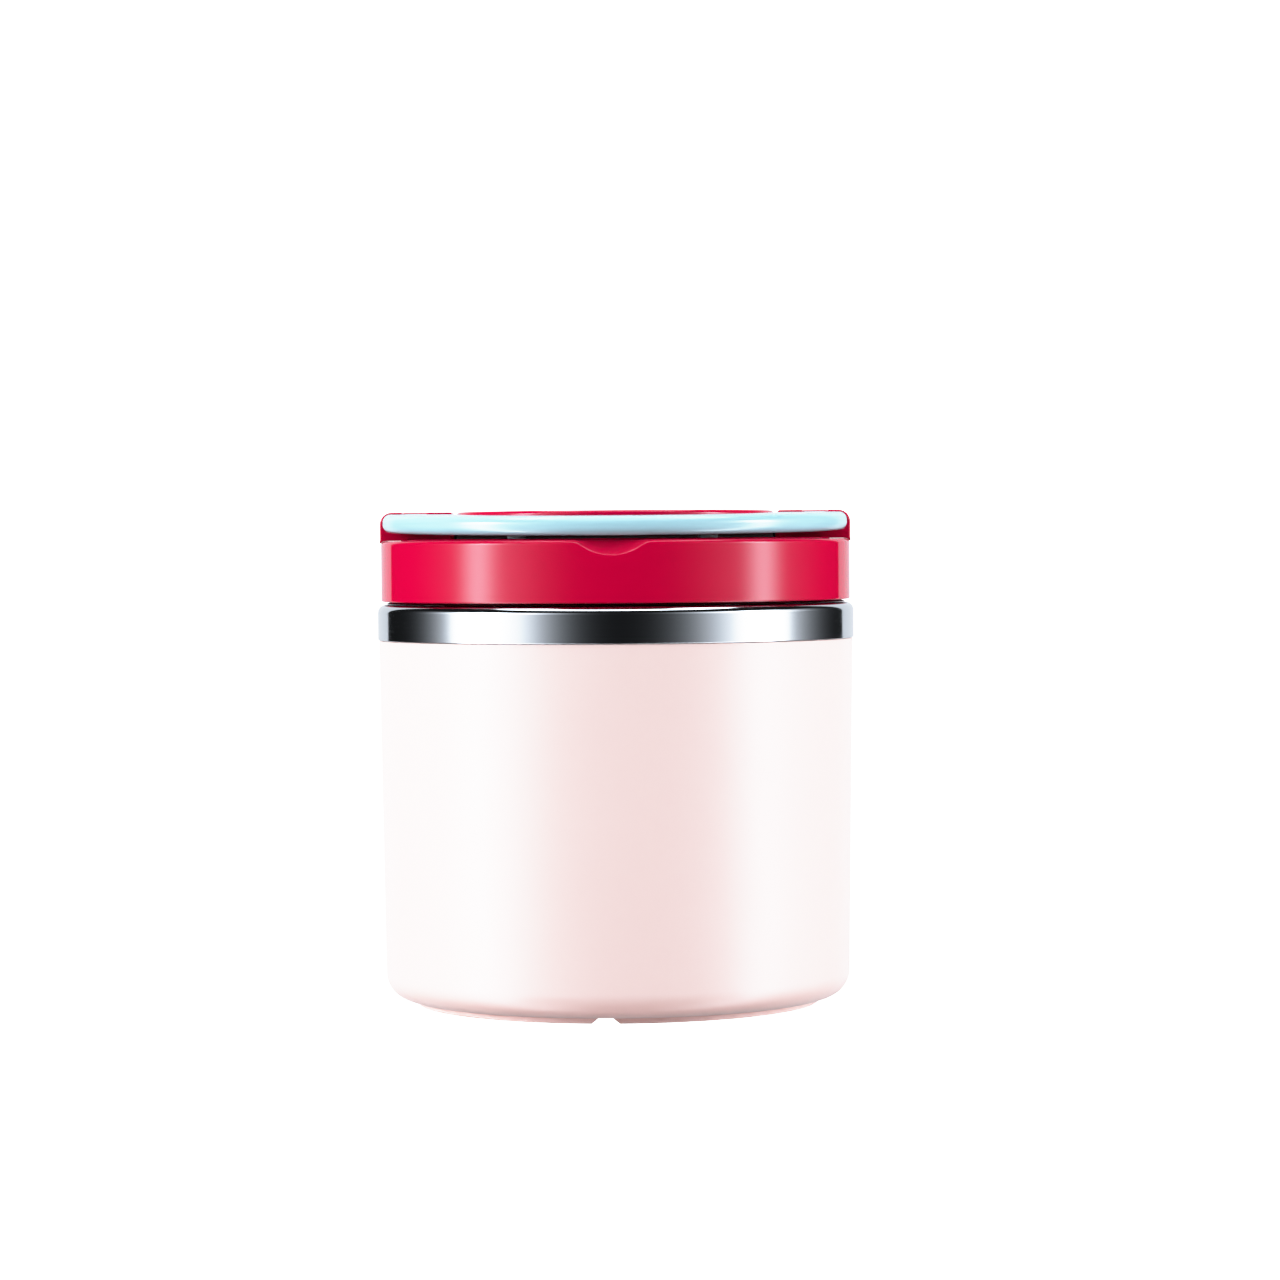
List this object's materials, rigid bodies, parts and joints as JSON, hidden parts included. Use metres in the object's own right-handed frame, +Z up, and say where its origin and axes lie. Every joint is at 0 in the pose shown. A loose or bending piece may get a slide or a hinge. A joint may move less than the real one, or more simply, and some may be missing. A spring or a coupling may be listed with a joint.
{
  "type": "ice cream maker",
  "caption": "Squat hand-turned ice cream maker: insulated body with a lift-out freezer bowl and steel rim, lift-off lid, and a turning cap with a folding bail handle that drives a dasher.",
  "frame": {"origin": "centre of the foot, on the floor", "axes": "+Z up along the turning axis; front at -Y, the side with the thumb scoop and the folded handle; +X to the right when seen from the front"},
  "size_m": [0.1516, 0.1516, 0.1563],
  "materials": {
    "body_pink": "satin",
    "foot_pink": "matte",
    "crimson": "gloss",
    "dark_red": "satin",
    "light_blue": "gloss",
    "screw_steel": "satin",
    "polished_steel": "polished",
    "bowl_metal": "satin",
    "foam_grey": "matte",
    "soft_white": "satin",
    "seal_grey": "matte",
    "gel_blue": "satin"
  },
  "bodies": {
    "housing": {"outer_shell": "body_pink", "foot_ring": "foot_pink", "base_plate": "foot_pink", "base_screw_1": "screw_steel", "base_screw_2": "screw_steel", "base_screw_3": "screw_steel", "insulation": "foam_grey", "inner_liner": "soft_white", "bowl_cushion": "seal_grey"},
    "bowl": {"bowl_rim": "polished_steel", "rim_core": "soft_white", "bowl_inner": "bowl_metal", "bowl_outer": "bowl_metal", "coolant": "gel_blue", "fill_plug": "seal_grey", "centre_pin": "screw_steel"},
    "lid": {"lid_shell": "crimson", "lid_plate": "dark_red", "lid_foam": "foam_grey", "lid_seal": "seal_grey", "shaft_bush": "soft_white", "shaft_seal": "seal_grey", "glide_ring": "soft_white", "lid_screw_1": "screw_steel", "lid_screw_2": "screw_steel", "lid_screw_3": "screw_steel", "lid_screw_4": "screw_steel"},
    "rotor": {"top_cap": "crimson", "hub_cover": "crimson", "cap_screw": "screw_steel", "drive_shaft": "screw_steel", "shaft_clip": "screw_steel", "pivot_pin_left": "screw_steel", "pivot_pin_right": "screw_steel", "bumper_left": "seal_grey", "bumper_right": "seal_grey"},
    "handle": {"bail_handle": "light_blue"},
    "dasher": {"dasher_frame": "soft_white", "hub_socket": "screw_steel", "scraper_left": "seal_grey", "scraper_right": "seal_grey"}
  },
  "joints": [
    {"name": "bowl_lift", "type": "slide", "parent": "housing", "child": "bowl", "axis": [0, 0, 1], "range_m": [0, 0.13]},
    {"name": "lid_lift", "type": "slide", "parent": "bowl", "child": "lid", "axis": [0, 0, 1], "range_m": [0, 0.06]},
    {"name": "crank_turn", "type": "hinge", "parent": "lid", "child": "rotor", "pos_m": [0, 0, 0.1475], "axis": [0, 0, 1], "continuous": true},
    {"name": "handle_fold", "type": "hinge", "parent": "rotor", "child": "handle", "pos_m": [0, 0, 0.153], "axis": [-1, 0, 0], "range_deg": [0, 92]},
    {"name": "dasher_spin", "type": "hinge", "parent": "bowl", "child": "dasher", "pos_m": [0, 0, 0.028], "axis": [0, 0, 1], "continuous": true}
  ],
  "couplings": [
    {"joint": "dasher_spin", "follows": "crank_turn", "ratio": 1}
  ]
}
